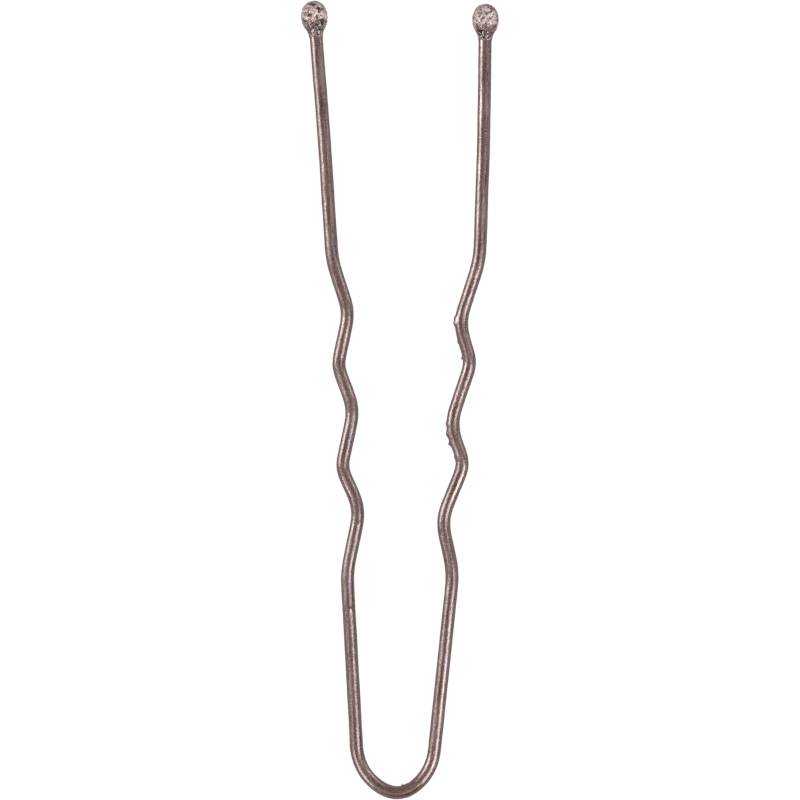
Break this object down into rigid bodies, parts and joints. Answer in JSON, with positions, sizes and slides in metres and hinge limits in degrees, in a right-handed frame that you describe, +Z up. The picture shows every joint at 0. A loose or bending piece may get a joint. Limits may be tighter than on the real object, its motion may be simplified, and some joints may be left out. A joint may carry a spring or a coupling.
{
  "type": "crimped u hairpin",
  "caption": "U-shaped hairpin of round brown-lacquered spring wire with crimped legs that flex at the crown and clear resin drops on the ends.",
  "frame": {"origin": "bottom centre of the pin's box as it lies flat, below the middle of the gap between the legs", "axes": "+X across the pin from the left leg to the right leg, +Y along the pin from the crown to the tips, +Z up out of the plane it is bent in"},
  "size_m": [0.0188, 0.0762, 0.0026],
  "materials": {
    "lacquered_wire": "glossy brown lacquer on round steel wire",
    "clear_resin": "clear glossy resin"
  },
  "bodies": {
    "crown": {"crown": "lacquered_wire"},
    "left_leg": {"left_leg": "lacquered_wire", "left_tip": "clear_resin"},
    "right_leg": {"right_leg": "lacquered_wire", "right_tip": "clear_resin"}
  },
  "joints": [
    {"name": "left_leg_flex", "type": "hinge", "parent": "crown", "child": "left_leg", "pos_m": [-0.00414, -0.03312, 0.00129], "axis": [0, 0, 1], "range_deg": [-5.5, 8], "stiffness_Nm_per_rad": 0.7},
    {"name": "right_leg_flex", "type": "hinge", "parent": "crown", "child": "right_leg", "pos_m": [0.00327, -0.03352, 0.00129], "axis": [0, 0, -1], "range_deg": [-5.5, 8], "stiffness_Nm_per_rad": 0.7}
  ]
}
